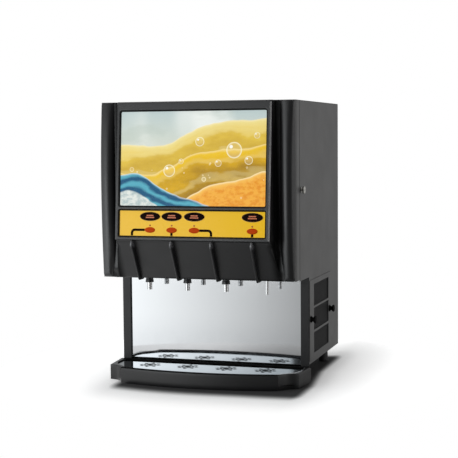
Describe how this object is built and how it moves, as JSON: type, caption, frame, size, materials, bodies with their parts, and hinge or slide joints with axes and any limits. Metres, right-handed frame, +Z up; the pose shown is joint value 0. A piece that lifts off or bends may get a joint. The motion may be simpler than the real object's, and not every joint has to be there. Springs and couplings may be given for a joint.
{
  "type": "juice dispenser",
  "caption": "Countertop juice dispenser: hinged door with a lit display and push buttons, nozzles over a polished backsplash, lift-out drip tray and a refrigerated cabinet with side vents.",
  "frame": {"origin": "on the counter, at the middle of the footprint", "axes": "+Z up, the door faces -Y, +X to the viewer's right"},
  "size_m": [0.5514, 0.5685, 0.744],
  "materials": {
    "grey_paint": "satin dark grey powder coat",
    "black_plastic": "satin moulded black plastic",
    "polished_steel": "mirror-polished stainless sheet",
    "tube_steel": "drawn stainless tube",
    "zinc_steel": "zinc-plated steel",
    "lock_nickel": "nickel plate",
    "black_rubber": "black rubber",
    "white_plastic": "white food-grade plastic",
    "juice_plastic": "translucent container filled with juice",
    "clear_hose": "translucent silicone hose",
    "motor_grey": "grey motor can",
    "red_plastic": "moulded orange-red plastic",
    "compressor_black": "black enamel",
    "fin_aluminium": "aluminium fins and tubes",
    "brass": "machined brass",
    "display_print": "backlit printed translucent panel",
    "led_white": "white light strips",
    "fascia_yellow": "yellow printed control panel",
    "label_black": "black printed overlay",
    "led_red": "small red-brown indicator lens",
    "button_orange": "orange push button",
    "board_green": "circuit board",
    "filter_mesh": "woven black filter mesh"
  },
  "bodies": {
    "cabinet": {"base_pan": "grey_paint", "feet": "black_rubber", "left_side_panel": "grey_paint", "right_side_panel": "grey_paint", "top_panel": "grey_paint", "rear_panel": "grey_paint", "front_frame": "white_plastic", "left_post": "black_plastic", "right_post": "black_plastic", "backsplash": "polished_steel", "deck_plate": "tube_steel", "cold_liner": "white_plastic", "container_shelf": "tube_steel", "juice_containers": "juice_plastic", "container_caps": "white_plastic", "water_chiller_tank": "tube_steel", "evaporator": "fin_aluminium", "pump_housings": "white_plastic", "pump_hoses": "clear_hose", "pump_motors": "motor_grey", "mixing_nozzles": "black_plastic", "dispense_tubes": "tube_steel", "water_valve": "white_plastic", "compressor": "compressor_black", "condenser": "fin_aluminium", "fan_shroud": "black_plastic", "fan_motor": "motor_grey", "power_supply": "zinc_steel", "water_inlet": "brass", "power_inlet": "black_plastic", "rear_screws": "zinc_steel", "vent_cover": "grey_paint", "air_filter": "filter_mesh", "tray_rails": "zinc_steel", "upper_hinge_bracket": "zinc_steel", "lower_hinge_bracket": "zinc_steel"},
    "door": {"door_pan": "grey_paint", "door_cover": "black_plastic", "door_gasket": "black_rubber", "light_box": "white_plastic", "led_strips": "led_white", "display_panel": "display_print", "control_fascia": "fascia_yellow", "flavour_labels": "label_black", "indicator_leds": "led_red", "control_board": "board_green", "lock_strike": "zinc_steel"},
    "door_lock": {"lock_barrel": "lock_nickel"},
    "front_thumbscrew": {"thumbscrew_front": "black_plastic"},
    "rear_thumbscrew": {"thumbscrew_rear": "black_plastic"},
    "button_1": {"push_button_1": "button_orange"},
    "button_2": {"push_button_2": "button_orange"},
    "button_3": {"push_button_3": "button_orange"},
    "button_4": {"push_button_4": "button_orange"},
    "tray": {"drip_tray": "black_plastic"},
    "grille": {"drip_grille": "polished_steel"},
    "fan": {"fan_blade": "white_plastic"},
    "rotor_1": {"pump_rotor_1": "red_plastic"},
    "rotor_2": {"pump_rotor_2": "red_plastic"},
    "rotor_3": {"pump_rotor_3": "red_plastic"}
  },
  "joints": [
    {"name": "door_hinge", "type": "hinge", "parent": "cabinet", "child": "door", "pos_m": [-0.255, -0.209, 0.51], "axis": [0, 0, -1], "range_deg": [0, 110]},
    {"name": "lock_turn", "type": "hinge", "parent": "cabinet", "child": "door_lock", "pos_m": [0.265, -0.177, 0.5145], "axis": [-1, 0, 0], "range_deg": [0, 90]},
    {"name": "front_thumbscrew_turn", "type": "hinge", "parent": "cabinet", "child": "front_thumbscrew", "pos_m": [0.27, -0.0795, 0.166], "axis": [1, 0, 0], "range_deg": [0, 90]},
    {"name": "rear_thumbscrew_turn", "type": "hinge", "parent": "cabinet", "child": "rear_thumbscrew", "pos_m": [0.27, 0.143, 0.166], "axis": [1, 0, 0], "range_deg": [0, 90]},
    {"name": "tray_slide", "type": "slide", "parent": "cabinet", "child": "tray", "axis": [0, -1, 0], "range_m": [0, 0.16]},
    {"name": "grille_lift", "type": "slide", "parent": "tray", "child": "grille", "axis": [0, 0, 1], "range_m": [0, 0.08]},
    {"name": "fan_spin", "type": "hinge", "parent": "cabinet", "child": "fan", "pos_m": [0.187, 0.0485, 0.161], "axis": [1, 0, 0], "continuous": true},
    {"name": "rotor_1_spin", "type": "hinge", "parent": "cabinet", "child": "rotor_1", "pos_m": [-0.162, -0.134, 0.35], "axis": [0, 1, 0], "continuous": true},
    {"name": "rotor_2_spin", "type": "hinge", "parent": "cabinet", "child": "rotor_2", "pos_m": [-0.054, -0.134, 0.35], "axis": [0, 1, 0], "continuous": true},
    {"name": "rotor_3_spin", "type": "hinge", "parent": "cabinet", "child": "rotor_3", "pos_m": [0.054, -0.134, 0.35], "axis": [0, 1, 0], "continuous": true},
    {"name": "button_1_press", "type": "slide", "parent": "door", "child": "button_1", "axis": [0, 0.9968, -0.0802], "range_m": [0, 0.002], "stiffness_N_per_m": 300},
    {"name": "button_2_press", "type": "slide", "parent": "door", "child": "button_2", "axis": [0, 0.9968, -0.0802], "range_m": [0, 0.002], "stiffness_N_per_m": 300},
    {"name": "button_3_press", "type": "slide", "parent": "door", "child": "button_3", "axis": [0, 0.9968, -0.0802], "range_m": [0, 0.002], "stiffness_N_per_m": 300},
    {"name": "button_4_press", "type": "slide", "parent": "door", "child": "button_4", "axis": [0, 0.9968, -0.0802], "range_m": [0, 0.002], "stiffness_N_per_m": 300}
  ]
}
